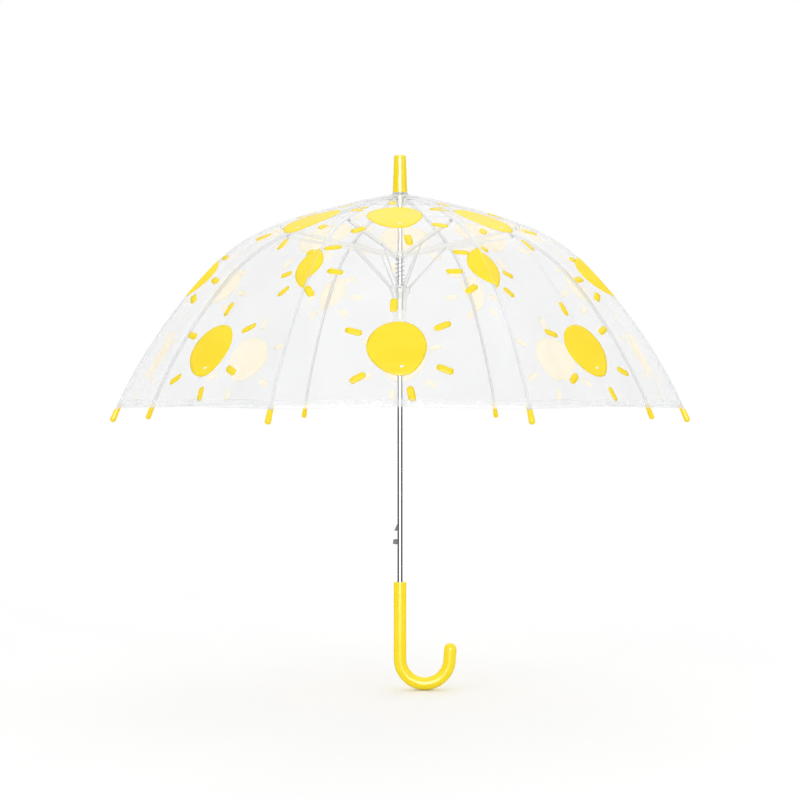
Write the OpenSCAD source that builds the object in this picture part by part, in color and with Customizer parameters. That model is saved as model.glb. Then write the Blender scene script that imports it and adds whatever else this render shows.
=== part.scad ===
// Children's dome umbrella with eight ribs, a two-hub opening linkage and a J handle.
// +Z runs up the shaft. The origin is on the shaft axis, in the middle of the grip.
// Every height is measured from there. A rib's plane holds [radius, height] pairs.

/* [Canopy profile] */
// Radius where the canopy's curve starts, at the top cap
crown_r = 9; // [8:0.5:10]
// Height where the canopy's curve starts
crown_z = 532; // [525:1:540]
// Slope of the canopy at the top, in degrees below level
crown_slope = 11; // [8:0.5:14]
// Length of the shallow top arc along a rib
arc1_len = 158; // [150:1:164]
// Bend of the top arc in degrees
arc1_bend = 9.6; // [8:0.1:12]
// Length of the tight shoulder arc
arc2_len = 96; // [80:1:110]
// Bend of the shoulder arc in degrees
arc2_bend = 24.7; // [20:0.1:28]
// Length of the lower arc, to the end of the rib tip
arc3_len = 226; // [200:1:240]
// Bend of the lower arc in degrees
arc3_bend = 21.4; // [16:0.1:24]
// Length of the film along a rib, from the top cap to the hem
film_len = 464; // [440:1:466]
// Thickness of the film's solid
film_t = 0.4; // [0.3:0.1:0.6]

/* [Ribs] */
// Width of a rib across its plane
rib_w = 2.6; // [2:0.1:3]
// Depth of a rib in its plane
rib_h = 2.2; // [1.8:0.1:2.4]
// Length of a rib tip
tip_len = 23; // [18:1:28]
// Radius of a rib tip at its round end
tip_r = 3.5; // [3:0.1:4]
// Radius of the circle of rib pivots in the notch
notch_r = 8; // [7.5:0.1:8.2]
// Height of the rib pivots in the notch
notch_z = 525.5; // [524:0.5:526]
// Distance from the film down to the rib's stretcher rivet
rivet_drop = 6; // [5.8:0.1:6.4]
// Distance of the stretcher rivet from the end of the top arc
rivet_back = 4; // [4:0.5:8]

/* [Linkage] */
// Radius of the circle of stretcher pivots in the slider
slider_r = 9; // [8.8:0.1:9.2]
// Height of the stretcher pivots with the umbrella open
slider_z = 456; // [452:0.5:458]
// Radius of the circle of strut pivots in the runner
runner_r = 11.8; // [11.6:0.1:12]
// Height of the strut pivots with the umbrella open
runner_z = 415.5; // [412:0.5:418]
// Distance from a stretcher's inner pivot to its strut rivet
strut_at = 54; // [50:1:58]
// Width of a stretcher channel
stretcher_w = 3; // [2.8:0.1:3.2]
// Depth of a stretcher channel
stretcher_h = 4.2; // [3.8:0.1:4.4]
// Thickness of a strut
strut_w = 1; // [0.8:0.1:1.2]
// Depth of a strut
strut_h = 2.2; // [1.8:0.1:2.4]
// Length of the runner below its strut pivots
runner_len = 96.5; // [92:0.5:98]

/* [Shaft, ferrule and handle] */
// Outer radius of the shaft tube
shaft_r = 3.3; // [3.1:0.1:3.4]
// Wall of the shaft tube
shaft_wall = 0.6; // [0.5:0.1:0.7]
// Length of the ferrule
ferrule_len = 47; // [40:1:52]
// Radius of the ferrule at the canopy
ferrule_base_r = 9.25; // [8.8:0.05:9.6]
// Radius of the ferrule at its end
ferrule_end_r = 7.6; // [7:0.1:8]
// Length of the straight grip
grip_len = 96; // [90:2:110]
// Radius of the handle's rod
grip_r = 8; // [7.5:0.1:8.4]
// Radius of the hook's bend at the rod's middle
hook_r = 31; // [28:0.5:36]
// Length of the hook's free leg, without its round end
hook_leg = 14; // [8:1:30]

/* [Hidden] */
$fn = 48;

rib_step = 45;
half_step = rib_step / 2;
fit = 0.05;             // running clearance on a pin
gap = 0.3;              // clearance between moving neighbours
wire_r = 0.5;           // ring wires
eye_r = 1.3;            // flattened eyes on the ring wires
tongue_w = 1.6;         // flattened tongues behind the eyes
rivet_r = 0.8;
slot_half = 1.75;       // half width of a hub slot where a channel passes
rib_top = 1.3;          // from the film's outer face down to a rib

yellow = [1, 0.87, 0.05];
steel = [0.62, 0.63, 0.65];
chrome = [0.85, 0.86, 0.88];
milky = [0.95, 0.95, 0.92];
clear = [0.9, 0.95, 1, 0.3];

// Canopy curve: three arcs that meet with one tangent
function bend_r(len, bend) = len * 180 / (PI * bend);
function outward(a) = [sin(a), cos(a)];
slope1 = crown_slope + arc1_bend;
slope2 = slope1 + arc2_bend;
r1 = bend_r(arc1_len, arc1_bend);
r2 = bend_r(arc2_len, arc2_bend);
r3 = bend_r(arc3_len, arc3_bend);
c1 = [crown_r, crown_z] - r1 * outward(crown_slope);
c2 = c1 + (r1 - r2) * outward(slope1);
c3 = c2 + (r2 - r3) * outward(slope2);
shoulder = arc1_len + arc2_len;
rib_len = shoulder + arc3_len;
function slope(s) = s < arc1_len ? crown_slope + arc1_bend * s / arc1_len
    : s < shoulder ? slope1 + arc2_bend * (s - arc1_len) / arc2_len
    : slope2 + arc3_bend * (s - shoulder) / arc3_len;
function centre(s) = s < arc1_len ? c1 : s < shoulder ? c2 : c3;
function arc_r(s) = s < arc1_len ? r1 : s < shoulder ? r2 : r3;
// Point at length s along the rib, dropped by d under the film
function at(s, d = 0) = centre(s) + (arc_r(s) - d) * outward(slope(s));

// Linkage points and directions in the rib plane
rivet = at(arc1_len - rivet_back, rivet_drop);
slider_eye = [slider_r, slider_z];
runner_eye = [runner_r, runner_z];
stretcher_len = norm(rivet - slider_eye);
stretcher_up = atan2(rivet[1] - slider_z, rivet[0] - slider_r);
strut_rivet = slider_eye + strut_at * [cos(stretcher_up), sin(stretcher_up)];
strut_len = norm(strut_rivet - runner_eye);
strut_up = atan2(strut_rivet[1] - runner_z, strut_rivet[0] - runner_r);
tongue_len = 11;        // flattened inner end of a stretcher
fork_len = 8;           // open outer end of a stretcher
strut_y = stretcher_w / 2 + 0.4;

handle_top = grip_len / 2;
bore_r = shaft_r + fit;
hub_bore_r = shaft_r + 0.1;
notch_base = notch_z - 6.5;
notch_top = notch_z + 6.1;
washer_z = notch_top + 0.8;
washer_t = 2;
ferrule_z = washer_z + washer_t;
ferrule_bore = 20;
shaft_top = ferrule_z + ferrule_bore - 1;
shaft_base = handle_top - 68;
handle_bore = 70;
slider_base = slider_z - 3;
slider_top = slider_z + 5.5;
crown_base = runner_z - 5.5;
crown_top = runner_z + 2;
sleeve_r = 8.3;
crown_disc_r = runner_r + 1;
catch_hinge_z = 56;
block_z = handle_top + 47;
block_h = 7;
ramp_z = handle_top + 64.1;
ramp_h = 8.7;
catch_reach = 3.8;
leaf_t = 0.4;
leaf_x = -2.45;         // outer face of the leaf, just inside the tube
leaf_roll = 0.6;        // rolled end that the leaf bends about

// Spreads children into the plane of rib k
module in_rib_plane(k) rotate([0, 0, (k - 0.5) * rib_step]) children();

// A flat plate in the rib plane, y from y0 to y0 + t
module plate(t, y0) translate([0, y0 + t, 0]) rotate([90, 0, 0]) linear_extrude(t) children();

// A round pin or hole across the rib plane at point p
module cross_pin(p, r, y0, y1) translate([p[0], y1, p[1]]) rotate([90, 0, 0]) cylinder(h = y1 - y0, r = r);

// A bar that follows the canopy's curve from length s0 to s1, within one arc
module arc_bar(s0, s1, drop, h, w) {
    mid = (s0 + s1) / 2;
    a0 = slope(s0);
    a1 = slope(s1 - 0.001);
    c = centre(mid);
    translate([c[0], 0, c[1]]) rotate([90, 0, 0]) rotate([0, 0, 90 - a1])
        rotate_extrude(angle = a1 - a0, $fn = 360)
            translate([arc_r(mid) - drop - h, -w / 2]) square([h, w]);
}

// A straight bar from point p at an angle, in the rib plane
module bar(p, up, from, to, low, high, y0, y1)
    translate([p[0], 0, p[1]]) rotate([0, -up, 0])
        translate([from, y0, low]) cube([to - from, y1 - y0, high - low]);

// A ring of wire around the shaft
module ring(r, z) translate([0, 0, z]) rotate_extrude() translate([r, 0]) circle(r = wire_r, $fn = 16);

module each_rib() for (k = [0:7]) rotate([0, 0, (k + 0.5) * rib_step]) children();

// Steel tube with a long window for the catch and holes for the stop pin
module shaft() color(chrome) difference() {
    translate([0, 0, shaft_base]) cylinder(h = shaft_top - shaft_base, r = shaft_r);
    translate([0, 0, shaft_base - 1]) cylinder(h = shaft_top - shaft_base + 2, r = shaft_r - shaft_wall);
    cross_pin([0, slider_top + 5.5], 0.9 + 0.02, -9, 9);
    translate([-shaft_r - 1, -1.5, block_z - 1]) cube([2.5, 3, block_h + 2]);
    translate([-shaft_r - 1, -1.5, ramp_z - 1]) cube([2.5, 3, ramp_h + 2]);
}

// Ferrule: tapered plug with a rounded end, pressed on the shaft's top
module ferrule() color(yellow) difference() {
    round_r = 2.4;
    translate([0, 0, ferrule_z]) rotate_extrude() polygon(concat(
        [[0, 0], [ferrule_base_r - 0.4, 0], [ferrule_base_r, 0.5]],
        [for (a = [0:15:90]) [ferrule_end_r - round_r * (1 - cos(a)), ferrule_len - round_r * (1 - sin(a))]],
        [[0, ferrule_len]]
    ));
    translate([0, 0, ferrule_z - 1]) cylinder(h = ferrule_bore + 1, r = bore_r);
}

// Clear washer that holds the film down on the notch
module top_washer() color(milky) difference() {
    translate([0, 0, washer_z]) rotate_extrude()
        polygon([[3, 0], [9.8, 0], [10.3, 0.5], [10.3, 1.4], [9.7, washer_t], [3, washer_t]]);
    translate([0, 0, washer_z - 1]) cylinder(h = washer_t + 2, r = bore_r);
}

// Notch: slotted hub fixed on the shaft, which holds the ribs' pivot wire
module notch() color(milky) difference() {
    translate([0, 0, notch_base]) rotate_extrude()
        polygon([[0, 0], [8.9, 0], [9.5, 0.6], [9.5, 12], [8.9, notch_top - notch_base], [0, notch_top - notch_base]]);
    translate([0, 0, notch_base - 1]) cylinder(h = 20, r = bore_r);
    each_rib() translate([5.2, -1.1, notch_base - 1]) cube([6, 2.2, notch_z + 4.2 - notch_base]);
    translate([0, 0, notch_z]) rotate_extrude() translate([notch_r, 0]) circle(r = wire_r + 0.02, $fn = 16);
}

// Steel ring that the ribs turn on, and the pin that stops the slider
module shaft_pins() color(steel) {
    ring(notch_r, notch_z);
    cross_pin([0, slider_top + 5.5], 0.9, -4.8, 4.8);
}

// J handle: straight grip, half-round hook and a short free leg
module handle() color(yellow) {
    lean = 4;
    edge = 1.4;
    rod_r = grip_r - 0.1;
    leg_r = rod_r - 0.05;
    difference() {
        translate([0, 0, -handle_top]) rotate_extrude() polygon(concat(
            [[0, 0], [grip_r, 0]],
            [for (a = [0:15:90]) [grip_r - edge * (1 - cos(a)), grip_len - edge * (1 - sin(a))]],
            [[0, grip_len]]
        ));
        translate([0, 0, handle_top - handle_bore]) cylinder(h = handle_bore + 1, r = bore_r);
    }
    translate([hook_r, 0, -handle_top]) {
        rotate([90, 0, 0]) rotate([0, 0, 180]) rotate_extrude(angle = 180 - lean, $fn = 96)
            translate([hook_r, 0]) circle(r = rod_r);
        rotate([0, lean, 0]) translate([hook_r, 0, 0]) {
            cylinder(h = hook_leg, r = leg_r);
            translate([0, 0, hook_leg]) sphere(r = leg_r);
        }
    }
}

// Catch: spring leaf inside the tube with a ramp that holds the runner and a thumb block
module catch() color(steel) {
    out = -shaft_r - catch_reach;
    translate([leaf_x, -1, catch_hinge_z]) cube([leaf_t, 2, ramp_z + ramp_h - catch_hinge_z]);
    cross_pin([leaf_x + leaf_roll, catch_hinge_z], leaf_roll, -1, 1);
    plate(2.4, -1.2) polygon([
        [leaf_x, block_z], [out - 1.5, block_z + 0.6], [out - 1.7, block_z + 2.2],
        [out - 1.3, block_z + block_h - 1], [leaf_x, block_z + block_h]
    ]);
    plate(2.4, -1.2) polygon([
        [leaf_x, ramp_z], [out, ramp_z], [out + 0.5, ramp_z + 1.2],
        [-shaft_r - 0.4, ramp_z + ramp_h - 0.6], [leaf_x, ramp_z + ramp_h]
    ]);
}

// Slider: upper moving hub, which carries the stretchers
module slider() color(milky) difference() {
    h = slider_top - slider_base;
    translate([0, 0, slider_base]) rotate_extrude()
        polygon([[0, 0], [7, 0], [7, 0.8], [9.9, 0.8], [10.3, 1.2], [10.3, h - 3], [9.8, h - 2.4], [6.4, h], [0, h]]);
    translate([0, 0, slider_base - 1]) cylinder(h = h + 2, r = hub_bore_r);
    each_rib() {
        translate([6.9, -slot_half, slider_base - 1]) cube([5, slot_half * 2, h + 2]);
        translate([5.2, -1.1, slider_base - 1]) cube([5, 2.2, h + 2]);
    }
    translate([0, 0, slider_z]) rotate_extrude() translate([slider_r, 0]) circle(r = wire_r + 0.02, $fn = 16);
}

module slider_ring() color(steel) ring(slider_r, slider_z);

// Runner: crown with strut slots, fluted neck and a long sleeve with the catch window
module runner() color(milky) difference() {
    base = runner_z - runner_len;
    lip = 1.6;
    rotate_extrude() polygon([
        [0, base], [sleeve_r - 0.6, base], [sleeve_r, base + 0.8], [sleeve_r, crown_base - 8],
        [crown_disc_r - 1.2, crown_base - 1], [crown_disc_r, crown_base],
        [crown_disc_r, crown_top - 1], [crown_disc_r - 0.8, crown_top], [0, crown_top]
    ]);
    translate([0, 0, base - 1]) cylinder(h = runner_len + 10, r = hub_bore_r);
    // Window that the catch's ramp springs into when the umbrella is closed
    translate([-sleeve_r - 1, -1.8, base + lip]) cube([sleeve_r - 2, 3.6, ramp_h + 1.6]);
    each_rib() {
        translate([4.6, -1.1, runner_z - 27]) cube([10, 2.2, 40]);
        translate([8.4, -slot_half, runner_z - 27]) cube([10, slot_half * 2, 40]);
        translate([9.2, 0, runner_z - 16]) cube([10, strut_y + strut_w + gap, 30]);
    }
    each_rib() cross_pin(runner_eye, 0.7 + 0.01, 0, strut_y + strut_w + 3);
}

// Short pins in the runner's teeth, one for each strut
module runner_pins() color(steel) each_rib()
    cross_pin(runner_eye, 0.7, strut_y - 0.15, strut_y + strut_w + 2.8);

// Opening spring: compression coil between the runner's crown and the slider
module spring() {
    coil_r = 5.2;
    coil_wire = 0.6;
    turns = 8;
    steps = 20;
    sides = 6;
    low = crown_top + 0.1 + coil_wire;
    high = slider_base - 0.1 - coil_wire;
    // The coils lie close at the lower end and open up above
    function rise(u) = low + (high - low) * (0.55 * u + 0.45 * u * u);
    n = turns * steps;
    points = [for (i = [0:n]) let (a = 360 * i / steps, z = rise(i / n))
        for (j = [0:sides - 1]) let (b = 360 * j / sides, r = coil_r + coil_wire * cos(b))
            [r * cos(a), r * sin(a), z + coil_wire * sin(b)]];
    color([0.35, 0.35, 0.37]) polyhedron(points, concat(
        [[for (j = [0:sides - 1]) j]],
        [for (i = [0:n - 1], j = [0:sides - 1]) let (a = i * sides, k = (j + 1) % sides)
            [a + j, a + sides + j, a + sides + k, a + k]],
        [[for (j = [sides - 1:-1:0]) n * sides + j]]
    ));
}

// Top part of a rib, from its eye in the notch to the stretcher rivet
module rib_inner(k) color(steel) in_rib_plane(k) {
    start = 14;
    top = at(start, rib_top + 0.2);
    under = at(start + 4, rib_top + rib_h - 0.2);
    difference() {
        union() {
            arc_bar(start, arc1_len, rib_top, rib_h, rib_w);
            plate(tongue_w, -tongue_w / 2) polygon([
                [notch_r - 0.6, notch_z + eye_r - 0.15], [notch_r + 2, notch_z + 3.2], top, at(start + 4, rib_top + 0.2), under,
                [notch_r + 0.6, notch_z - eye_r + 0.15]
            ]);
            cross_pin([notch_r, notch_z], eye_r, -tongue_w / 2, tongue_w / 2);
        }
        cross_pin([notch_r, notch_z], wire_r + 0.09, -3, 3);
    }
    // Lug and rivet for the stretcher
    lug_w = stretcher_w - 1.2 - 0.4;
    mid = arc1_len - rivet_back;
    plate(lug_w, -lug_w / 2) polygon([
        at(mid - 3, rib_top + 1), at(mid + 2.2, rib_top + 1), at(mid + 1.3, rivet_drop), at(mid - 1.3, rivet_drop)
    ]);
    cross_pin(rivet, 1.4, -lug_w / 2, lug_w / 2);
    cross_pin(rivet, rivet_r, -stretcher_w / 2 - 0.2, stretcher_w / 2 + 0.2);
    for (y = [-stretcher_w / 2 - 0.75, stretcher_w / 2 + 0.15]) cross_pin(rivet, 1.4, y, y + 0.6);
}

// Curved lower part of a rib, from the bend at the stretcher rivet to inside its tip
module rib_outer(k) color(steel) in_rib_plane(k) {
    arc_bar(arc1_len, shoulder, rib_top, rib_h, rib_w);
    arc_bar(shoulder, rib_len - 9, rib_top, rib_h, rib_w);
}

// Moulded tip that the hem is fixed to
module rib_tip(k) color(yellow) in_rib_plane(k) {
    start = rib_len - tip_len;
    p = at(start, rib_top + rib_h / 2);
    a = slope(rib_len - tip_len / 2);
    seat = film_len - start + 0.6;
    translate([p[0], 0, p[1]]) rotate([0, 90 + a, 0]) difference() {
        union() {
            cylinder(h = tip_len - tip_r, r1 = tip_r - 0.7, r2 = tip_r);
            translate([0, 0, tip_len - tip_r]) sphere(r = tip_r);
        }
        translate([-(rib_h / 2 + 0.25), -(rib_w / 2 + 0.15), -1])
            cube([rib_h + 0.5, rib_w + 0.3, tip_len - 9 + 1.6]);
        // Seat for the hem, below the film
        translate([-tip_r * 2 - 0.6, -tip_r - 1, -1]) cube([tip_r * 2, tip_r * 2 + 2, seat + 1]);
    }
}

// Film sector of one rib: the two half panels beside it, each straight from rib to panel middle
module canopy(k) {
    steps = 36;
    first = 2.2;
    seam = 0.2;
    cols = 3;
    // Side -1, 0 or 1: one panel's middle, the rib, the other panel's middle
    function sheet_point(s, side, drop) = let (
        p = at(s, drop),
        reach = p[0] * sin(half_step) - seam
    ) [p[0] - abs(side) * reach * sin(half_step), side * reach * cos(half_step), p[1]];
    function s_at(i) = first + (film_len - first) * i / steps;
    function cell(i, j) = i * cols + j;
    outer = [for (i = [0:steps], side = [-1:1]) sheet_point(s_at(i), side, 0)];
    inner = [for (i = [0:steps], side = [-1:1]) sheet_point(s_at(i), side, film_t)];
    m = len(outer);
    color(clear) in_rib_plane(k) polyhedron(concat(outer, inner), concat(
        [for (i = [0:steps - 1], j = [0:cols - 2])
            [cell(i, j), cell(i, j + 1), cell(i + 1, j + 1), cell(i + 1, j)]],
        [for (i = [0:steps - 1], j = [0:cols - 2])
            [m + cell(i, j), m + cell(i + 1, j), m + cell(i + 1, j + 1), m + cell(i, j + 1)]],
        [for (j = [0:cols - 2]) [cell(0, j), m + cell(0, j), m + cell(0, j + 1), cell(0, j + 1)]],
        [for (j = [0:cols - 2])
            [cell(steps, j), cell(steps, j + 1), m + cell(steps, j + 1), m + cell(steps, j)]],
        [for (i = [0:steps - 1]) [cell(i, 0), cell(i + 1, 0), m + cell(i + 1, 0), m + cell(i, 0)]],
        [for (i = [0:steps - 1])
            [cell(i, cols - 1), m + cell(i, cols - 1), m + cell(i + 1, cols - 1), cell(i + 1, cols - 1)]]
    ));
}

// Stretcher: channel from the slider to the rib, with a flat tongue at the hub and a fork at the rib
module stretcher(k) color(milky) in_rib_plane(k) {
    half = stretcher_w / 2;
    wall = 0.6;
    low = -stretcher_h / 2;
    high = stretcher_h / 2 - 0.3;
    difference() {
        union() {
            bar(slider_eye, stretcher_up, 0, tongue_len + 1, -eye_r + 0.1, eye_r - 0.1, -tongue_w / 2, tongue_w / 2);
            cross_pin(slider_eye, eye_r, -tongue_w / 2, tongue_w / 2);
            bar(slider_eye, stretcher_up, tongue_len, stretcher_len, low, high, -half, half);
            cross_pin(rivet, stretcher_h / 2 - 0.35, -half, half);
        }
        cross_pin(slider_eye, wire_r + 0.09, -3, 3);
        bar(slider_eye, stretcher_up, tongue_len + 4, stretcher_len + 5, low - 1, high - 0.8, -half + wall, half - wall);
        bar(slider_eye, stretcher_up, stretcher_len - fork_len, stretcher_len + 5, low - 1, high + 2, -half + wall, half - wall);
        cross_pin(rivet, rivet_r + fit, -3, 3);
    }
    // Rivet for the strut, on one side of the channel
    cross_pin(strut_rivet, rivet_r, half - 0.3, strut_y + strut_w + 0.2);
    cross_pin(strut_rivet, 1.4, strut_y + strut_w + 0.15, strut_y + strut_w + 0.7);
    cross_pin(strut_rivet, 1.4, half - 0.3, strut_y - 0.15);
}

// Strut: flat bar from the runner to the stretcher, with an eye at each end
module strut(k) color(steel) in_rib_plane(k) plate(strut_w, strut_y) difference() {
    union() {
        translate(runner_eye) rotate(strut_up) translate([0.5, -strut_h / 2]) square([strut_len - 1, strut_h]);
        translate(runner_eye) circle(r = 1.5);
        translate(strut_rivet) circle(r = 1.5);
    }
    translate(runner_eye) circle(r = 0.7 + fit);
    translate(strut_rivet) circle(r = rivet_r + fit);
}

shaft();
ferrule();
top_washer();
notch();
shaft_pins();
handle();
catch();
slider();
slider_ring();
runner();
runner_pins();
spring();
for (k = [1:8]) {
    rib_inner(k);
    rib_outer(k);
    rib_tip(k);
    canopy(k);
    stretcher(k);
    strut(k);
}
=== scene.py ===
import bpy
import math
import numpy as np
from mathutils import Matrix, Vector
from mathutils.geometry import delaunay_2d_cdt


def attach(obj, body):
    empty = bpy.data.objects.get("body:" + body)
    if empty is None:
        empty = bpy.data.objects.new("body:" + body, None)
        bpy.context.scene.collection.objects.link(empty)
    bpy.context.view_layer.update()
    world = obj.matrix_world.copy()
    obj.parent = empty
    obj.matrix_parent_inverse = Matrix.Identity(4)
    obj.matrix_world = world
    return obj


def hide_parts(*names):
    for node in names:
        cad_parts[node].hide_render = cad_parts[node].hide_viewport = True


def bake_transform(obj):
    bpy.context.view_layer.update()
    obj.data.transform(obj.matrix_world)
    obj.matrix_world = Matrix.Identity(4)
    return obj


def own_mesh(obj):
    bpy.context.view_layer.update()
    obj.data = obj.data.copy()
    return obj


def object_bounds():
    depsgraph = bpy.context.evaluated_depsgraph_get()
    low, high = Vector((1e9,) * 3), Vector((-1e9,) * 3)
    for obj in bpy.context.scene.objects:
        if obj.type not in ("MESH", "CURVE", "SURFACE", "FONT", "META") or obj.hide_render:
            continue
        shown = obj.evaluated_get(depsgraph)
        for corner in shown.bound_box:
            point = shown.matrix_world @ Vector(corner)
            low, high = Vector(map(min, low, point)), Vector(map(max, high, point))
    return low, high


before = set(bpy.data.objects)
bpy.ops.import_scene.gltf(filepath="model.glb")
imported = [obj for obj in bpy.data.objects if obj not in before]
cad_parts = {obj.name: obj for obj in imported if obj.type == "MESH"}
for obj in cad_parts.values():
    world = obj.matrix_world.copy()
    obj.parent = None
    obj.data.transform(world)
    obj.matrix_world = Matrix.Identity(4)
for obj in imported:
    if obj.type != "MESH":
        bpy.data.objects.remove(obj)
cad_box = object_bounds()

MM = 0.001
RIBS = range(1, 9)
STEP = math.radians(45)
HALF = STEP / 2
SIN_H, COS_H = math.sin(HALF), math.cos(HALF)

# ---------------------------------------------------------------- camera
LENS_MM = 76.2
CAMERA_AT = (0, -2.117, 0.2755)

cam_data = bpy.data.cameras.new("view_camera")
cam_data.lens = LENS_MM
cam_data.sensor_width = 36
cam = bpy.data.objects.new("view_camera", cam_data)
bpy.context.scene.collection.objects.link(cam)
cam.location = CAMERA_AT
cam.rotation_euler = (math.radians(90), 0, 0)
bpy.context.scene.camera = cam
bpy.context.scene.view_settings.view_transform = "Standard"
# A ray can pass through many layers of film, most of all when the umbrella is closed
bpy.context.scene.cycles.transparent_max_bounces = 48

# ---------------------------------------------------------------- canopy curve
# Three arcs with one tangent, in a rib's plane: length in mm, bend in degrees
CROWN = np.array([9.0, 532.0])
CROWN_SLOPE = 11.0
ARCS = ((158.0, 9.6), (96.0, 24.7), (226.0, 21.4))
SPLIT = ARCS[0][0]
SHOULDER = SPLIT + ARCS[1][0]
RIB_LEN = SHOULDER + ARCS[2][0]
# The film, its thickness and its hem, in mm along a rib
FILM_START = 0.6
FILM_LEN = 464.0
FILM_T = 0.3
HEM_BAND = 9.0
HEM_RISE = 3.2
# The film is rounded this far to each side of a rib
RIDGE = 2.4
# Half the length over which a rib bends about its stretcher's rivet
BEND_REACH = 14.0


def outward(deg):
    a = np.radians(deg)
    return np.stack([np.sin(a), np.cos(a)], axis=-1)


def arc_table():
    rows, slope, s0 = [], CROWN_SLOPE, 0.0
    centre, last = None, None
    for length, bend in ARCS:
        r = length * 180 / (math.pi * bend)
        centre = CROWN - r * outward(slope) if centre is None else centre + (last - r) * outward(slope)
        rows.append((s0, slope, bend / length, centre, r))
        s0, slope, last = s0 + length, slope + bend, r
    return rows


ARC_ROWS = arc_table()


def at(s, lift=0.0):
    """Radius and height in mm at length s along a rib, lift mm outside the film."""
    s = np.asarray(s, float)
    lift = np.broadcast_to(np.asarray(lift, float), s.shape)
    out = np.zeros(s.shape + (2,))
    for i, (s0, slope, rate, centre, r) in enumerate(ARC_ROWS):
        here = s >= s0 if i else np.ones(s.shape, bool)
        n = outward(slope + rate * (s - s0))
        out[here] = (centre + (r + lift)[..., None] * n)[here]
    return out


def turn(points, k):
    """Rib-plane x, y, z in mm to the row frame in metres."""
    a = (k - 0.5) * STEP
    c, s = math.cos(a), math.sin(a)
    p = np.asarray(points, float).reshape(-1, 3)
    return np.stack([p[:, 0] * c - p[:, 1] * s, p[:, 0] * s + p[:, 1] * c, p[:, 2]], axis=1) * MM


def half_width(s):
    """Half the distance in mm between the two panel middles beside a rib."""
    return at(s)[..., 0] * SIN_H


def ripple(s, a):
    """Tension folds that run up from each tip, less the panels' sag, in mm.

    a is 0 at the rib and 1 at the panel's middle.
    """
    near_hem = np.clip((s - 330) / 120, 0, 1) ** 2
    near_rib = np.clip(1 - a / 0.62, 0, 1) ** 1.5 * np.clip(a / 0.06, 0, 1)
    sag = 1.6 * np.sin(math.pi * np.clip(a, 0, 1)) ** 2 * np.clip(s / 300, 0, 1)
    return 0.9 * near_hem * near_rib * np.sin(21 * a + 0.012 * s) - sag


def film(k, s, u, lift=0.0):
    """Points on the film of rib k: s along the rib, u from -1 to 1 between the two panel middles."""
    s, u = np.broadcast_arrays(np.asarray(s, float), np.asarray(u, float))
    a = np.abs(u)
    p = at(s, np.asarray(lift, float) + ripple(s, a))
    reach = p[..., 0] * SIN_H
    # The film lies round over the rib, which is RIDGE mm to each side
    ridge = RIDGE / np.maximum(reach, 4)
    rounded = np.where(a > ridge, a, (a * a + ridge * ridge) / (2 * ridge))
    x = p[..., 0] - rounded * reach * SIN_H
    y = u * reach * COS_H
    return turn(np.stack([x, y, p[..., 1]], axis=-1), k)


def bend_ends(k):
    """Where rib k starts and ends its bend."""
    return [Vector(film(k, SPLIT + d, 0.0)[0]) for d in (-BEND_REACH, BEND_REACH)]


# ---------------------------------------------------------------- node helpers
def material(name, colour, rough, **sockets):
    m = bpy.data.materials.new(name)
    m.use_nodes = True
    n = m.node_tree.nodes["Principled BSDF"]
    n.inputs["Base Color"].default_value = (*colour, 1)
    n.inputs["Roughness"].default_value = rough
    for key, value in sockets.items():
        n.inputs[key.replace("_", " ")].default_value = value
    return m


def node(tree, kind, **inputs):
    """A new node with its unlinked inputs set; an underscore in a name stands for a space."""
    n = tree.nodes.new("ShaderNode" + kind)
    for key, value in inputs.items():
        n.inputs[key.replace("_", " ")].default_value = value
    return n


def math_node(tree, operation):
    n = tree.nodes.new("ShaderNodeMath")
    n.operation = operation
    return n


def textured(m, scale, stretch=(1, 1, 1), rough=(0.2, 0.3), tint=None, bump=0.0, distance=0.0002,
             detail=4.0, wave=None):
    """Noise drives roughness, a tint between two colours, and a fine bump with waves if asked."""
    t = m.node_tree
    shader = t.nodes["Principled BSDF"]
    coord = node(t, "TexCoord")
    mapping = node(t, "Mapping", Scale=stretch)
    noise = node(t, "TexNoise", Scale=scale, Detail=detail)
    span = node(t, "MapRange", From_Min=0.3, From_Max=0.7, To_Min=rough[0], To_Max=rough[1])
    t.links.new(coord.outputs["Object"], mapping.inputs["Vector"])
    t.links.new(mapping.outputs["Vector"], noise.inputs["Vector"])
    t.links.new(noise.outputs["Fac"], span.inputs["Value"])
    t.links.new(span.outputs["Result"], shader.inputs["Roughness"])
    if tint:
        ramp = node(t, "ValToRGB")
        for stop, place, colour in zip(ramp.color_ramp.elements, (0.32, 0.68), tint):
            stop.position = place
            stop.color = (*colour, 1)
        t.links.new(noise.outputs["Fac"], ramp.inputs["Fac"])
        t.links.new(ramp.outputs["Color"], shader.inputs["Base Color"])
    if bump:
        height = noise.outputs["Fac"]
        if wave:
            bands = node(t, "TexWave", Scale=wave[1], Distortion=0.4)
            bands.bands_direction = wave[0]
            add = math_node(t, "ADD")
            t.links.new(coord.outputs["Object"], bands.inputs["Vector"])
            t.links.new(noise.outputs["Fac"], add.inputs[0])
            t.links.new(bands.outputs["Fac"], add.inputs[1])
            height = add.outputs[0]
        b = node(t, "Bump", Strength=bump, Distance=distance)
        t.links.new(height, b.inputs["Height"])
        t.links.new(b.outputs["Normal"], shader.inputs["Normal"])
    return m


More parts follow.
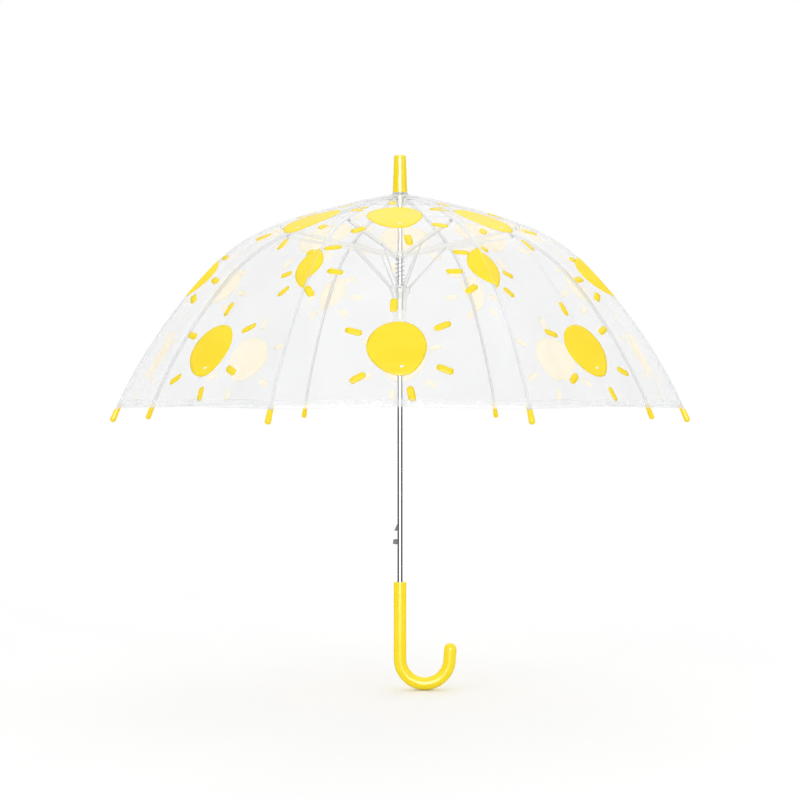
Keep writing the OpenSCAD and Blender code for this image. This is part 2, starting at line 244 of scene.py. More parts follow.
YELLOW = (0.95, 0.74, 0.008)
film_mat = textured(
    material("clear_film", (0.76, 0.765, 0.775), 0.15, Alpha=0.19, IOR=1.45), 14, (1, 1, 0.35),
    rough=(0.10, 0.26), tint=((0.77, 0.775, 0.785), (0.85, 0.855, 0.865)), bump=0.25, distance=0.0015,
    detail=3)
lap_mat = textured(
    material("clear_film_lap", (0.97, 0.975, 0.985), 0.2, Alpha=0.05), 30, rough=(0.15, 0.25), bump=0.1)
seam_mat = textured(
    material("welded_film", (0.62, 0.625, 0.635), 0.3, Alpha=0.3), 300, rough=(0.25, 0.45),
    tint=((0.78, 0.785, 0.795), (0.86, 0.865, 0.875)), bump=0.2, distance=0.0001, wave=("Z", 260))
hem_mat = textured(
    material("folded_hem_film", (0.68, 0.685, 0.695), 0.25, Alpha=0.27), 90, rough=(0.2, 0.4),
    tint=((0.83, 0.835, 0.845), (0.90, 0.905, 0.915)), bump=0.12, distance=0.0003, wave=("Z", 420))
print_mat = textured(
    material("sun_print", YELLOW, 0.3, Alpha=0.95, Specular_IOR_Level=0.32), 22, (1, 1, 3),
    rough=(0.3, 0.46), tint=((0.97, 0.725, 0.005), (0.97, 0.765, 0.01)), bump=0.2, distance=0.0006)
# The inner face of the print is much paler and glows: its pale colour and its emission are painted light,
# standing in for the light that passes through thin ink
print_back_glow_mat = textured(
    material("sun_print_back_painted_glow", (1.0, 0.89, 0.71), 0.5, Alpha=0.95, Emission_Color=(1.0, 0.84, 0.46, 1),
             Emission_Strength=0.36), 22, (1, 1, 3),
    rough=(0.4, 0.6), tint=((1.0, 0.91, 0.66), (1.0, 0.95, 0.76)), bump=0.1)
white_ink_mat = textured(
    material("white_ink", (0.97, 0.97, 0.93), 0.35), 600, rough=(0.3, 0.45), bump=0.2,
    tint=((0.95, 0.95, 0.88), (0.99, 0.99, 0.97)))
handle_mat = textured(
    material("yellow_handle_plastic", YELLOW, 0.2, Coat_Weight=0.12, Coat_Roughness=0.08), 60, (1, 1, 0.5),
    rough=(0.22, 0.32), tint=((1.0, 0.765, 0.008), (1.0, 0.795, 0.014)), bump=0.08, distance=0.0004)
ferrule_mat = textured(
    material("yellow_ferrule_plastic", YELLOW, 0.15, Coat_Weight=1.0, Coat_Roughness=0.03, Coat_IOR=1.65),
    80, (1, 1, 0.3), rough=(0.10, 0.2), tint=((1.0, 0.79, 0.002), (1.0, 0.82, 0.004)), bump=0.06,
    distance=0.0003)
tip_mat = textured(
    material("yellow_tip_plastic", YELLOW, 0.25), 200, (1, 1, 1), rough=(0.2, 0.34),
    tint=((1.0, 0.71, 0.004), (1.0, 0.76, 0.01)), bump=0.1, distance=0.0002)
chrome_mat = textured(
    material("chrome_tube", (0.80, 0.81, 0.84), 0.12, Metallic=1.0), 420, (1, 1, 0.02),
    rough=(0.07, 0.17), tint=((0.76, 0.77, 0.80), (0.86, 0.87, 0.90)), bump=0.05, distance=0.00005)
zinc_mat = textured(
    material("zinc_steel", (0.60, 0.61, 0.63), 0.35, Metallic=1.0), 300, (1, 1, 0.4),
    rough=(0.28, 0.46), tint=((0.52, 0.53, 0.55), (0.68, 0.69, 0.71)), bump=0.15, distance=0.0001)
dark_mat = textured(
    material("dark_spring_steel", (0.12, 0.12, 0.12), 0.5, Metallic=0.2, Specular_IOR_Level=0.3), 400,
    rough=(0.42, 0.6), tint=((0.09, 0.09, 0.09), (0.16, 0.16, 0.155)), bump=0.1, distance=0.00005)
spring_mat = textured(
    material("spring_steel_wire", (0.46, 0.47, 0.49), 0.35, Metallic=0.5), 400, rough=(0.25, 0.42),
    tint=((0.40, 0.41, 0.43), (0.52, 0.53, 0.55)), bump=0.15, distance=0.0001)
painted_mat = textured(
    material("cream_painted_steel", (0.90, 0.89, 0.85), 0.4), 160, (1, 1, 1), rough=(0.32, 0.5),
    tint=((0.86, 0.85, 0.80), (0.93, 0.925, 0.89)), bump=0.15, distance=0.0002)
strut_mat = textured(
    material("bright_strut_steel", (0.76, 0.77, 0.78), 0.35, Metallic=0.2), 280, (1, 1, 0.5),
    rough=(0.28, 0.44), tint=((0.74, 0.75, 0.76), (0.84, 0.85, 0.86)), bump=0.15, distance=0.0001)
rib_mat = textured(
    material("light_rib_steel", (0.86, 0.87, 0.88), 0.35, Metallic=0.1), 260, (1, 1, 0.5),
    rough=(0.28, 0.44), tint=((0.86, 0.87, 0.88), (0.93, 0.935, 0.94)), bump=0.15, distance=0.0001)
milky_mat = textured(
    material("milky_plastic", (0.92, 0.92, 0.90), 0.35, Subsurface_Weight=0.25, Subsurface_Scale=0.004),
    120, rough=(0.28, 0.42), tint=((0.89, 0.89, 0.86), (0.95, 0.95, 0.93)), bump=0.1, distance=0.0002)
washer_mat = textured(
    material("clear_washer_plastic", (0.93, 0.95, 0.97), 0.12, Alpha=0.55), 150, rough=(0.08, 0.2),
    tint=((0.90, 0.92, 0.95), (0.96, 0.97, 0.98)), bump=0.1, distance=0.0002)


def use(name, m):
    """Gives a CAD node a material."""
    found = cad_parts[name]
    for o in found if isinstance(found, (list, tuple)) else [found]:
        o = bpy.data.objects[o] if isinstance(o, str) else o
        for place in o.material_slots:
            place.material = m
        if not o.material_slots:
            o.data.materials.append(m)


# ---------------------------------------------------------------- mesh helpers
def piece(name, verts, faces, mats, index=None, smooth=True, flat=()):
    """A new mesh object; index gives each face its material, flat lists the faces that aren't smooth."""
    mesh = bpy.data.meshes.new(name)
    mesh.from_pydata([tuple(v) for v in verts], [], [tuple(int(i) for i in f) for f in faces])
    for m in mats:
        mesh.materials.append(m)
    if index is not None:
        mesh.polygons.foreach_set("material_index", np.asarray(index, np.int32))
    rounded = np.full(len(mesh.polygons), smooth)
    rounded[list(flat)] = False
    mesh.polygons.foreach_set("use_smooth", rounded)
    mesh.update()
    o = bpy.data.objects.new(name, mesh)
    bpy.context.scene.collection.objects.link(o)
    return o


def shell(outer, inner, open_top=False):
    """Closed thin sheet from two grids of points, rows by columns, and its number of wide faces."""
    rows, cols = outer.shape[:2]
    n = rows * cols
    verts = np.concatenate([outer.reshape(-1, 3), inner.reshape(-1, 3)])
    faces = []
    for i in range(rows - 1):
        for j in range(cols - 1):
            a, d = i * cols + j, (i + 1) * cols + j
            faces.append((a, d, d + 1, a + 1))
            faces.append((n + a, n + a + 1, n + d + 1, n + d))
    wide = len(faces)
    for j in range(cols - 1):
        if not open_top:
            faces.append((j, j + 1, n + j + 1, n + j))
        e = (rows - 1) * cols + j
        faces.append((e, n + e, n + e + 1, e + 1))
    for i in range(rows - 1):
        a, d = i * cols, (i + 1) * cols
        faces.append((a, n + a, n + d, d))
        b, c = a + cols - 1, d + cols - 1
        faces.append((b, c, n + c, n + b))
    return verts, faces, wide


def join_parts(parts):
    """One list of points and faces from several."""
    verts, faces = [], []
    base = 0
    for v, f in parts:
        verts.append(np.asarray(v, float).reshape(-1, 3))
        faces += [tuple(base + i for i in g) for g in f]
        base += len(verts[-1])
    return np.concatenate(verts), faces


def soft(o, body):
    """Rides a rib's body, with a mesh of its own."""
    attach(o, body)
    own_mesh(o)


# ---------------------------------------------------------------- film
def columns(count=23):
    """Film columns, closer together near the rib."""
    t = np.linspace(0, 1, count)
    pos = 0.35 * t + 0.65 * t ** 1.8
    return np.concatenate([-pos[:0:-1], pos])


def film_area(s0, s1):
    """Area in square metres of one sector's film between two places on the rib."""
    s = np.linspace(s0, s1, 400)
    w = 2 * half_width(s)
    return float(np.sum((w[1:] + w[:-1]) / 2 * np.diff(s))) * MM * MM


def hem_at(u):
    """The hem's edge rises a little towards each panel's middle."""
    return FILM_LEN - HEM_RISE * (1 - (1 - np.abs(u)) ** 2)


U = columns()
# The crown is in short bands: name, start, end, share of width kept in the fold, rows
COLLAR_END = 12.0
TOP_START = 92.0
BANDS = (
    ("film_crown", COLLAR_END, 28.0, 0.6, 4),
    ("film_upper", 28.0, 54.0, 0.4, 5),
    ("film_middle", 54.0, TOP_START, 0.26, 7),
)
# Where the weld over the collar hands over to the one over the rib
WELD_JOIN = COLLAR_END + 1.5
# The lap goes under the skirt, least at the rib
LAP, LAP_AT_RIB, LAP_DROP = 14.0, 1.0, 0.42
LAP_SHARES = (0.15, 0.6, 1.0)


def layer(k, s, u, high, low, open_top=False):
    """A thin sheet on rib k's film between two lifts in mm."""
    s, u = np.broadcast_arrays(s, u)
    return shell(*(film(k, s, u, lift).reshape(s.shape + (3,)) for lift in (high, low)), open_top)


def rimmed(name, k, sheet, mat, lap_from=None):
    """A sheet whose rims, and wide faces from lap_from on, are nearly invisible."""
    verts, faces, wide = sheet
    shown = wide if lap_from is None else lap_from
    index = [0] * shown + [1] * (len(faces) - shown)
    return piece(f"{name}_{k}", verts, faces, [mat, lap_mat], index, flat=range(wide, len(faces)))


def crown_band(name, k, s0, s1, rows):
    """A short stretch of film at the crown."""
    return rimmed(name, k, layer(k, np.linspace(s0, s1, rows)[:, None], U, 0, -FILM_T), film_mat)


def seam_strip(name, k, s0, s1, count):
    """The welded seam over the rib."""
    across_rib = np.array([-2.3, -2.15, -0.9, 0, 0.9, 2.15, 2.3])
    lift = np.array([0.1, 0.4, 0.4, 0.5, 0.4, 0.4, 0.1])
    s = np.linspace(s0, s1, count)[:, None]
    verts, faces, _ = layer(k, s, across_rib / (half_width(s) * COS_H), lift, 0.06)
    return piece(f"{name}_{k}", verts, faces, [seam_mat])


def crown_film(k):
    """The collar, the bands below it, and where each lies."""
    collar = crown_band("film_collar", k, FILM_START, COLLAR_END, 9)
    rows = [(collar, FILM_START, COLLAR_END)]
    weld = seam_strip("seam_collar", k, FILM_START + 2.4, WELD_JOIN, 12)
    # The collar stays under the washer
    ends = [Vector(film(k, s, 0.0)[0]) for s in (1.5, COLLAR_END - 1)]
    for part in (collar, weld):
        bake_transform(part)
    for name, s0, s1, keep, count in BANDS:
        o = crown_band(name, k, s0, s1, count)
        soft(o, f"rib_{k}")
        rows.append((o, s0, s1))
    return rows


def top_film(k):
    """The film above the bend, with a lap that goes under the skirt."""
    s = TOP_START + (SPLIT - TOP_START) * np.linspace(0, 1, 12)
    lap = LAP_AT_RIB + (LAP - LAP_AT_RIB) * U ** 2
    S = np.concatenate([np.broadcast_to(s[:, None], (len(s), len(U))),
                        np.array([SPLIT + lap * share for share in LAP_SHARES])])
    drop = np.zeros(S.shape)
    drop[-len(LAP_SHARES):] = -LAP_DROP
    lap_from = 2 * (len(U) - 1) * (len(s) - 1)
    o = rimmed("film_top", k, layer(k, S, U, drop, drop - FILM_T), film_mat, lap_from)
    soft(o, f"rib_{k}")
    return o


def skirt_film(k):
    """The film below the bend."""
    hem_top = hem_at(U)[None, :] - HEM_BAND
    body = SPLIT + (hem_top - SPLIT) * np.linspace(0, 1, 43)[:, None]
    band = hem_top + HEM_BAND * np.array([0.5, 1.0])[:, None]
    sheet = layer(k, np.concatenate([body, band]), U, 0, -FILM_T, open_top=True)
    o = rimmed("film_skirt", k, sheet, film_mat)
    soft(o, f"rib_end_{k}")
    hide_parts(f"canopy_{k}")
    return o


def hem_film(k):
    """Folded hem band outside the film."""
    S = hem_at(U)[None, :] - HEM_BAND + HEM_BAND * np.array([0, 0.06, 0.5, 0.94, 1.0])[:, None]
    lift = np.array([0.12, 0.3, 0.32, 0.3, 0.1])[:, None]
    o = rimmed("hem", k, layer(k, S, U, lift, 0.05), hem_mat)
    soft(o, f"rib_end_{k}")
    return o


def seam_film(k):
    """Welded seam over the rib."""
    o = seam_strip("seam", k, WELD_JOIN, FILM_LEN - 0.5, 118)
    ends = bend_ends(k)
    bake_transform(o)
    return o


crown, films = {}, {}
for k in RIBS:
    crown[k] = crown_film(k)
    films[k] = [top_film(k), skirt_film(k), hem_film(k), seam_film(k)]

# ---------------------------------------------------------------- printed suns
def sun_outline(count=72):
    """The disc's hand-drawn outline, in mm."""
    th = np.linspace(0, 2 * math.pi, count, endpoint=False)

    def hump(centre, width):
        d = (th - math.radians(centre) + math.pi) % (2 * math.pi) - math.pi
        return np.exp(-(d / math.radians(width)) ** 2)

    r = 32.2 + 1.7 * hump(62, 32) + 2.8 * hump(-72, 24) - 1.7 * hump(-138, 28) - 0.8 * hump(-22, 22)
    return np.stack([r * np.cos(th) * 0.985, -r * np.sin(th)], axis=1)


def stroke(b, a, deg, length=19.5, width=8.0):
    """A rounded brush stroke, centred at (b, a), b to the right and a down the film."""
    straight = (length - width) / 2
    p = np.array([(side * (straight + width / 2 * math.cos(t)), side * width / 2 * math.sin(t))
                  for side in (1, -1) for t in map(math.radians, np.linspace(-90, 90, 9))])
    c, s = math.cos(math.radians(deg)), math.sin(math.radians(deg))
    return np.stack([b + p[:, 0] * c + p[:, 1] * s, a - p[:, 0] * s + p[:, 1] * c], axis=1)


# Each ray: b, a, turn in degrees, length
RAYS = ((-3, -55, 88, 19.5), (48, -28, 27, 20), (50, 26, -24, 19), (15, 55, -78, 18), (-40, 36, 32, 18.5),
        (-45, -21, -18, 19))


# Parts of a print narrower than this, in mm, are left out
SLIVER = 0.8
# A level that no print reaches
NO_CUT = 1e3


def clip(poly, keep_right, edge):
    """The part of a polygon on one side of a line of constant b."""
    sign = 1 if keep_right else -1
    out = []
    for p, q in zip(poly, np.roll(poly, -1, axis=0)):
        dp, dq = sign * (p[0] - edge), sign * (q[0] - edge)
        if dp >= 0:
            out.append(p)
        if dp * dq < 0:
            out.append(p + (q - p) * dp / (dp - dq))
    return np.array(out)


def fill(poly, spacing=4.0):
    """Triangles over a polygon, with inside points so that it can bend."""
    dense = []
    for p, q in zip(poly, np.roll(poly, -1, axis=0)):
        parts = max(1, math.ceil(float(np.hypot(*(q - p))) / spacing))
        dense += [p + (q - p) * i / parts for i in range(parts)]
    poly = np.array(dense)
    lo, hi = poly.min(axis=0), poly.max(axis=0)
    inside = []
    for x in np.arange(lo[0] + spacing / 2, hi[0], spacing):
        for y in np.arange(lo[1] + spacing / 2, hi[1], spacing):
            d = poly - np.array((x, y))
            e = np.roll(d, -1, axis=0)
            crosses = (d[:, 1] <= 0) != (e[:, 1] <= 0)
            with np.errstate(divide="ignore", invalid="ignore"):
                xs = d[:, 0] - d[:, 1] * (e[:, 0] - d[:, 0]) / (e[:, 1] - d[:, 1])
            if np.sum(crosses & (xs > 0)) % 2 and np.min(np.hypot(d[:, 0], d[:, 1])) > spacing * 0.45:
                inside.append((x, y))
    n = len(poly)
    pts = [Vector(p) for p in poly] + [Vector(p) for p in inside]
    verts, _, faces, *_ = delaunay_2d_cdt(pts, [(i, (i + 1) % n) for i in range(n)], [], 1, 1e-5)
    return np.array([tuple(v) for v in verts]), [tuple(f) for f in faces]


def across(parts, keep_low, level):
    """The parts of a print on one side of a line of constant a."""
    halves = [(clip(poly[:, ::-1], keep_low, level).reshape(-1, 2)[:, ::-1], *rest) for poly, *rest in parts]
    return [h for h in halves if len(h[0]) >= 3 and np.ptp(h[0][:, 1]) > SLIVER]


def print_part(poly, place, low, high, cut, level):
    """One thin closed layer of ink: place turns (b, a) into film points at a lift.

    It has no rim along b = cut or a = level, where the other part of the sun goes on.
    """
    flat, tris = fill(poly)
    n = len(flat)

    def outward_first(t):
        (x0, y0), (x1, y1), (x2, y2) = (flat[i] for i in t)
        return t if (x1 - x0) * (y2 - y0) - (y1 - y0) * (x2 - x0) < 0 else t[::-1]

    tris = [outward_first(t) for t in tris]
    used = {(t[i], t[(i + 1) % 3]): None for t in tris for i in range(3)}
    rim = [e for e in used if (e[1], e[0]) not in used and np.abs(flat[list(e), 0] - cut).max() > 1e-4
           and np.abs(flat[list(e), 1] - level).max() > 1e-4]
    verts = np.concatenate([place(flat, high), place(flat, low)])
    faces = list(tris) + [(n + t[2], n + t[1], n + t[0]) for t in tris]
    faces += [(e[1], e[0], n + e[0], n + e[1]) for e in rim]
    return verts, faces, [0] * len(tris) + [1] * len(tris) + [0] * len(rim)


def print_piece(name, polys, place, k, body, level=NO_CUT):
    """One piece from several parts of a print, riding a body and listed with rib k's film."""
    verts, faces, index, rims = [], [], [], []
    base = 0
    for poly, low, high, white, cut in polys:
        v, f, i = print_part(poly, place, low, high, cut, level)
        verts.append(v)
        faces += [tuple(base + n for n in g) for g in f]
        rims += [len(index) + n for n, g in enumerate(f) if len(g) == 4]
        index += [2 if white else n for n in i]
        base += len(v)
    # The inner faces take the material whose pale colour and glow are painted light for light passing
    # through thin ink
    mats = [print_mat, print_back_glow_mat, white_ink_mat]
    o = piece(name, np.concatenate(verts), faces, mats, index, flat=rims)
    soft(o, body)
    films[k].append(o)


def place_centre(k, side, s0):
    """(b, a) about a panel's middle line, on rib k's side of it."""
    def place(p, lift):
        s = s0 + p[:, 1]
        return film(k, s, side * (1 - np.abs(p[:, 0]) / half_width(s)), lift)
    return place


def place_seam(k, s0):
    """(b, a) about rib k; the print goes over the weld."""
    def place(p, lift):
        s = s0 + p[:, 1]
        over = 0.45 * np.clip(2.2 - np.abs(p[:, 0]) / 2.3, 0, 1)
        return film(k, s, p[:, 0] / half_width(s), lift + over)
    return place


# Lifts in mm of the ink's inner and outer face, and of the white dot on it
INK_LOW, INK_HIGH, DOT_HIGH = 0.09, 0.2, 0.26
GLINT = stroke(5.5, 23, 15, 4.6, 2.4)


def sun_parts(right, edge, shift=(0, 0), scale=(1, 1), rays=RAYS):
    """Disc with glint, and rays, on one side of the line b = edge: polygon, low, high, white, edge."""
    def part(points, low, high, white):
        return clip(points * np.array(scale) + np.array(shift), right, edge), low, high, white, edge

    disc = [part(sun_outline(), INK_LOW, INK_HIGH, False), part(GLINT, INK_HIGH + 0.02, DOT_HIGH, True)]
    strokes = [part(stroke(*ray), INK_LOW, INK_HIGH, False) for ray in rays]

    def real(p):
        return len(p[0]) >= 3 and np.ptp(p[0][:, 0]) > SLIVER
    return [p for p in disc if real(p)], [p for p in strokes if real(p)]


# Places of the suns along a rib, in mm
LOW_SUN, TOP_SUN, SEAM_SUN = 388.0, 154.0, 273.0
# The print runs off one panel and starts again on the next, so the two halves don't match
SEAM_SHIFTS = (((3.5, 1), (-21, -5)), ((9.5, -2), (-13, 4)))
SEAM_RAYS = (
    ((-17, -27, 30, 12), (-41, 8, 14, 18), (-34, 35, 40, 19),
     (13, -33, 14, 19), (27, 7, -12, 19), (7, 38, -55, 18)),
    ((-22, -25, -12, 18), (-38, 6, 0, 19), (-27, 34, 38, 18),
     (9, -31, -40, 12), (31, 9, -26, 17), (20, 38, -45, 18)),
)
# Half the gap between the two halves of a seam's sun
SEAM_GAP = 0.2


def panel_suns(k, side):
    """The low and the upper sun's half on one side of rib k."""
    # A panel's left half lies on the + side of the rib before it
    tag = "a" if side > 0 else "b"
    disc, rays = sun_parts(side < 0, 0.0, shift=(-3.6, 0.5), scale=(1.04, 1.04))
    print_piece(f"low_sun_{tag}_{k}", disc + rays, place_centre(k, side, LOW_SUN), k, f"rib_end_{k}")
    disc, rays = sun_parts(side < 0, 0.0, shift=(-6, 0), scale=(1.04, 1.28))
    # The rib bends across this sun, so its print is in two pieces that meet on the bend
    level = SPLIT - TOP_SUN
    place = place_centre(k, side, TOP_SUN)
    above, below = (across(disc + rays, keep_low, level) for keep_low in (False, True))
    print_piece(f"top_sun_{tag}_{k}", above, place, k, f"rib_{k}", level)
    print_piece(f"bend_sun_{tag}_{k}", below, place, k, f"rib_end_{k}", level=level)


def seam_sun(k):
    """The sun that lies over rib k, in two halves that are out of register."""
    left_shift, right_shift = SEAM_SHIFTS[k % 2]
    strokes = SEAM_RAYS[k % 2]
    left = sun_parts(False, -SEAM_GAP, shift=left_shift, scale=(0.96, 1.0))[0]
    right = sun_parts(True, SEAM_GAP, shift=right_shift, scale=(0.96, 0.94))[0]
    rays = sun_parts(False, -SEAM_GAP, rays=strokes)[1] + sun_parts(True, SEAM_GAP, rays=strokes)[1]
    print_piece(f"seam_sun_{k}", left + right + rays, place_seam(k, SEAM_SUN), k, f"rib_end_{k}")


for k in RIBS:
    for side in (1, -1):
        panel_suns(k, side)
    seam_sun(k)

for k in RIBS:
    for o, s0, s1 in crown[k]:
        2 * half_width(s1) * MM
        film_area(s0, s1)
    2 * half_width(SPLIT) * MM
    film_area(TOP_START, SPLIT + 5)
    2 * half_width(FILM_LEN) * MM
    film_area(SPLIT, FILM_LEN)

# ---------------------------------------------------------------- ribs
# Channel in mm: drop of its top below the film's outside, height and width
RIB_TOP, RIB_H, RIB_W = 1.3, 2.2, 2.6
# Where the strip starts on the rib, and how far it stops short of the rib's end
STRIP_START, STRIP_SHORT = 16, 8


def rib_section():
    """Fluted channel, open below: (across, drop) going round once."""
    w, h, t = RIB_W / 2, RIB_H, 0.45
    right = [(w - 0.35, 0), (w, 0.35), (w, h), (w - t, h), (w - t, 0.75), (w - t - 0.3, t)]
    left = [(-y, d) for y, d in right]
    return [left[1], left[0], *right, *left[:1:-1]]


def strip(k):
    """Rib k's channel from the notch to inside its tip."""
    end = RIB_LEN - STRIP_SHORT
    s = np.concatenate([np.linspace(STRIP_START, SPLIT, 40), np.linspace(SPLIT, end, 80)[1:]])
    section = rib_section()
    m = len(section)
    rings = []
    for y, d in section:
        p = at(s, -(RIB_TOP + d))
        rings.append(np.stack([p[:, 0], np.full(len(s), y), p[:, 1]], axis=1))
    pts = np.stack(rings, axis=1).reshape(-1, 3)
    faces = [(i * m + j, i * m + (j + 1) % m, (i + 1) * m + (j + 1) % m, (i + 1) * m + j)
             for i in range(len(s) - 1) for j in range(m)]
    faces += [tuple(range(m - 1, -1, -1)), tuple((len(s) - 1) * m + j for j in range(m))]
    o = piece(f"rib_strip_{k}", turn(pts, k), faces, [rib_mat], smooth=False)
    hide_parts(f"rib_outer_{k}")
    ends = bend_ends(k)
    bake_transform(o)


def tube_faces(rows, sides):
    """Side faces over rows of rings, each with the same number of points."""
    pairs = [(i * sides, (i + 1) * sides, j, (j + 1) % sides) for i in range(rows - 1) for j in range(sides)]
    return [(here + a, there + a, there + b, here + b) for here, there, a, b in pairs]


def circle(centre, radius, y, sides):
    """A ring of points about a pin that lies across the rib plane."""
    angles = [2 * math.pi * i / sides for i in range(sides)]
    return [(centre[0] + radius * math.cos(a), y, centre[1] + radius * math.sin(a)) for a in angles]


def disc_y(p, radius, y0, y1, dome=0.0, sides=28):
    """Round pin across the rib plane, with chamfered ends or a domed far end."""
    if dome:
        sign = 1 if y1 > y0 else -1
        levels = [(y0, radius)]
        levels += [(y1 + sign * dome * math.sin(a), radius * math.cos(a)) for a in (0, 0.4, 0.8, 1.2)]
    else:
        levels = [(y0, radius * 0.94), (y0 + 0.06, radius), (y1 - 0.06, radius), (y1, radius * 0.94)]
    v = [point for y, r in levels for point in circle(p, r, y, sides)]
    f = tube_faces(len(levels), sides)
    f += [tuple(range(sides)), tuple((len(levels) - 1) * sides + j for j in range(sides - 1, -1, -1))]
    return v, f


def plate_y(points, y0, y1):
    """Flat plate in the rib plane between two sides."""
    n = len(points)
    v = [(p[0], y0, p[1]) for p in points] + [(p[0], y1, p[1]) for p in points]
    f = [tuple(range(n)), tuple(range(2 * n - 1, n - 1, -1))]
    f += [(i, n + i, n + (i + 1) % n, (i + 1) % n) for i in range(n)]
    return v, f


# The rib's pivot in the notch, x and z in mm
NOTCH = (8.0, 525.5)
# The stretcher's rivet: place along the rib and drop below the film, and the stretcher's width
RIVET_AT, RIVET_DROP = SPLIT - 4, 6.0
CHANNEL_W = 3.0
EYE_R, TONGUE = 1.3, 0.8
PIN_R, HEAD_R = 0.78, 1.4


def along_rib(s, drop):
    return tuple(at(float(s), -float(drop)))


def by_rivet(*offsets):
    """Points at a distance along the rib from the rivet, and a drop."""
    return [along_rib(RIVET_AT + ds, drop) for ds, drop in offsets]


def eye():
    """The rolled eye about the notch's ring wire."""
    sides = 32
    outer = ((-TONGUE, EYE_R - 0.1), (-TONGUE + 0.15, EYE_R), (TONGUE - 0.15, EYE_R), (TONGUE, EYE_R - 0.1))
    inner = ((TONGUE, 0.62), (TONGUE - 0.15, 0.59), (-TONGUE + 0.15, 0.59), (-TONGUE, 0.62))
    loops = outer + inner
    m = len(loops)
    v = [point for y, r in loops for point in circle(NOTCH, r, y, sides)]
    pairs = [(i * sides, (i + 1) % m * sides, j, (j + 1) % sides) for i in range(m) for j in range(sides)]
    return v, [(here + a, here + b, there + b, there + a) for here, there, a, b in pairs]


def rib_hardware(k):
    """Eye and tongue at the notch, lug and domed rivet at the stretcher."""
    x, z = NOTCH
    tongue = [(x + 1.15, z + 0.55), (x + 0.9, z + 0.9), (x + 2.2, z + 3.1), along_rib(13.5, 1.0),
              along_rib(18, 1.0), along_rib(18.3, 2.8), along_rib(14.5, 2.9)]
    lug = by_rivet((-3.2, 1.4), (2.4, 1.4), (1.4, RIVET_DROP - 0.4), (0.8, RIVET_DROP + 1.1),
                   (-0.8, RIVET_DROP + 1.1), (-1.4, RIVET_DROP - 0.4))
    rivet = along_rib(RIVET_AT, RIVET_DROP)
    side = CHANNEL_W / 2
    v, f = join_parts([
        eye(),
        plate_y(tongue, -TONGUE, TONGUE),
        plate_y(lug, -(side - 0.8), side - 0.8),
        disc_y(rivet, PIN_R, -side - 0.2, side + 0.2),
        disc_y(rivet, HEAD_R, side + 0.15, side + 0.3, 0.5),
        disc_y(rivet, HEAD_R, -side - 0.15, -side - 0.3, 0.5),
    ])
    o = piece(f"rib_hardware_{k}", turn(v, k), f, [zinc_mat], smooth=False)
    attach(o, f"rib_{k}")
    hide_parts(f"rib_inner_{k}")


for k in RIBS:
    strip(k)
    rib_hardware(k)

# ---------------------------------------------------------------- opening spring
# The runner's top and the slider's underside, in mm
COIL_LOW, COIL_HIGH = 417.5, 453


def coil():
    """Compression spring between the runner and the slider, with closed ends and an open middle."""
    wire, radius = 0.6, 5.2
    low, high = COIL_LOW + 0.75, COIL_HIGH - 0.75
    turns, sides = 8.5, 10
    n = int(turns * 40)
    rings = []
    for i in range(n + 1):
        share = i / n
        a = 2 * math.pi * turns * share
        z = low + (high - low) * np.interp(share, [0, 0.12, 0.4, 0.88, 1], [0, 0.05, 0.30, 0.955, 1])
        for j in range(sides):
            b = 2 * math.pi * j / sides
            r = radius + wire * math.cos(b)
            rings.append((r * math.cos(a), r * math.sin(a), z + wire * math.sin(b)))
    f = tube_faces(n + 1, sides)
    f += [tuple(range(sides)), tuple(n * sides + j for j in range(sides - 1, -1, -1))]
    o = piece("opening_coil", np.array(rings) * MM, f, [spring_mat])
    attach(o, "runner")
    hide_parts("spring")
    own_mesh(o)


coil()

# ---------------------------------------------------------------- finishes of the CAD nodes
for name, finish in (
    ("shaft", chrome_mat), ("ferrule", ferrule_mat), ("top_washer", washer_mat), ("notch", milky_mat),
    ("shaft_pins", zinc_mat), ("handle", handle_mat), ("catch", dark_mat), ("slider", milky_mat),
    ("slider_ring", zinc_mat), ("runner", milky_mat), ("runner_pins", zinc_mat),
):
    use(name, finish)
for k in RIBS:
    use(f"rib_tip_{k}", tip_mat)
    use(f"stretcher_{k}", painted_mat)
    use(f"strut_{k}", strut_mat)

# ---------------------------------------------------------------- floor and light
FLOOR_R = 1.15
floor_z = float(cad_box[0][2]) - 0.0002
floor_mat = textured(
    material("pale_floor", (0.89, 0.89, 0.89), 0.7, Specular_IOR_Level=0.1), 3, rough=(0.65, 0.8),
    tint=((0.885, 0.885, 0.885), (0.895, 0.895, 0.895)))
floor_angles = [2 * math.pi * i / 96 for i in range(96)]
floor_ring = [(FLOOR_R * math.cos(a), FLOOR_R * math.sin(a), floor_z) for a in floor_angles]
floor = piece("floor", floor_ring, [tuple(range(96))], [floor_mat])
floor.visible_glossy = False


def area_light(name, place, target, size, power, gloss_only=False):
    data = bpy.data.lights.new(name, "AREA")
    data.shape = "RECTANGLE"
    data.size, data.size_y = size
    data.energy = power
    o = bpy.data.objects.new(name, data)
    bpy.context.scene.collection.objects.link(o)
    o.location = place
    o.visible_diffuse = not gloss_only
    o.rotation_euler = (Vector(target) - Vector(place)).to_track_quat("-Z", "Y").to_euler()


area_light("front_strip", (0.0, -3.4, 0.9), (0, 0, 0.3), (1.7, 2.6), 170, gloss_only=True)
area_light("key_left", (-2.6, -2.2, 2.6), (0, 0, 0.3), (2.0, 2.0), 13)
area_light("fill_right", (2.8, -1.6, 1.8), (0, 0, 0.3), (2.0, 2.0), 7)
area_light("top_back", (0.4, 2.4, 3.0), (0, 0, 0.4), (2.4, 2.0), 8)

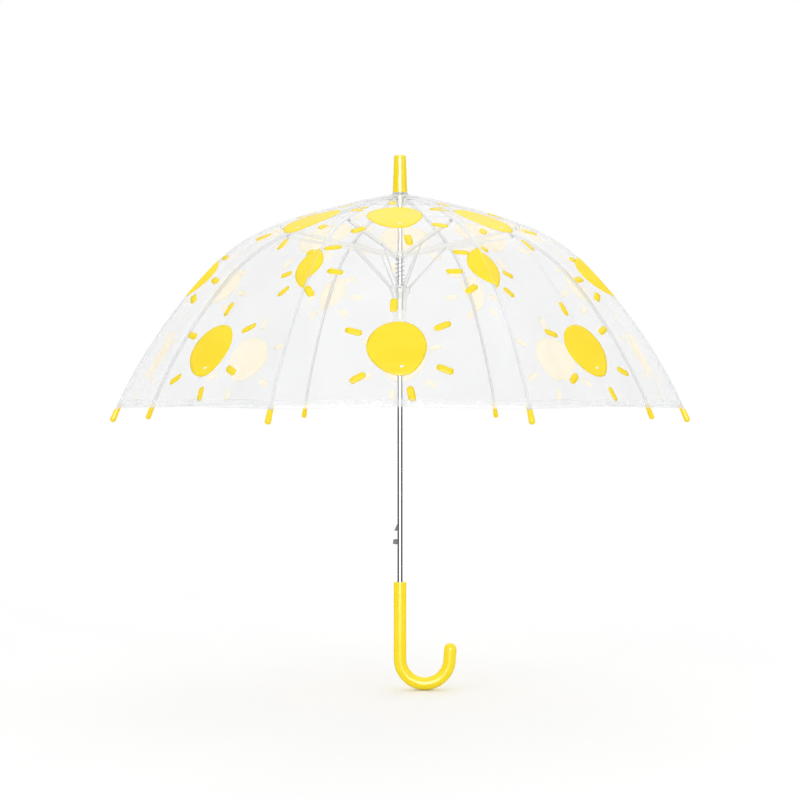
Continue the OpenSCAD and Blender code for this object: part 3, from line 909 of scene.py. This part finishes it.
sun_data = bpy.data.lights.new("overhead", "SUN")
sun_data.energy = 0.35
sun_data.angle = math.radians(60)
sun = bpy.data.objects.new("overhead", sun_data)
bpy.context.scene.collection.objects.link(sun)
sun.rotation_euler = (math.radians(-12), math.radians(8), 0)

world = bpy.data.worlds.new("studio")
bpy.context.scene.world = world
world.use_nodes = True
wt = world.node_tree
wt.nodes.clear()


def smooth_range(tree, low, high, at_low, at_high):
    n = node(tree, "MapRange", From_Min=low, From_Max=high, To_Min=at_low, To_Max=at_high)
    n.interpolation_type = "SMOOTHSTEP"
    return n


world_out = node(wt, "OutputWorld")
back = node(wt, "Background", Color=(1, 1, 1, 1))
surround = node(wt, "Background")
pick = node(wt, "MixShader")
path = node(wt, "LightPath")
# The camera sees pure white, and the light from the surround is a little less
level = math_node(wt, "MULTIPLY_ADD")
level.inputs[1].default_value = 0.05
level.inputs[2].default_value = 0.95
wt.links.new(path.outputs["Is Camera Ray"], level.inputs[0])
wt.links.new(level.outputs[0], back.inputs["Strength"])
# Gloss sees a darker surround at both sides and below, so that metal has edges
where = node(wt, "TexCoord")
axes = node(wt, "SeparateXYZ")
sideways = math_node(wt, "ABSOLUTE")
fade = smooth_range(wt, 0.35, 0.85, 0.95, 0.18)
low = smooth_range(wt, -0.24, -0.09, 0.3, 1.0)
both = math_node(wt, "MULTIPLY")
wt.links.new(where.outputs["Generated"], axes.inputs[0])
wt.links.new(axes.outputs["X"], sideways.inputs[0])
wt.links.new(sideways.outputs[0], fade.inputs["Value"])
wt.links.new(axes.outputs["Z"], low.inputs["Value"])
wt.links.new(fade.outputs["Result"], both.inputs[0])
wt.links.new(low.outputs["Result"], both.inputs[1])
wt.links.new(both.outputs[0], surround.inputs["Strength"])
wt.links.new(path.outputs["Is Glossy Ray"], pick.inputs["Fac"])
wt.links.new(back.outputs[0], pick.inputs[1])
wt.links.new(surround.outputs[0], pick.inputs[2])
wt.links.new(pick.outputs[0], world_out.inputs["Surface"])

# Clear film casts hardly any shadow
for part in ("film_collar", "film_crown", "film_upper", "film_middle", "seam_collar", "film_top",
             "film_skirt", "hem", "seam"):
    for k in RIBS:
        bpy.data.objects[f"{part}_{k}"].visible_shadow = False
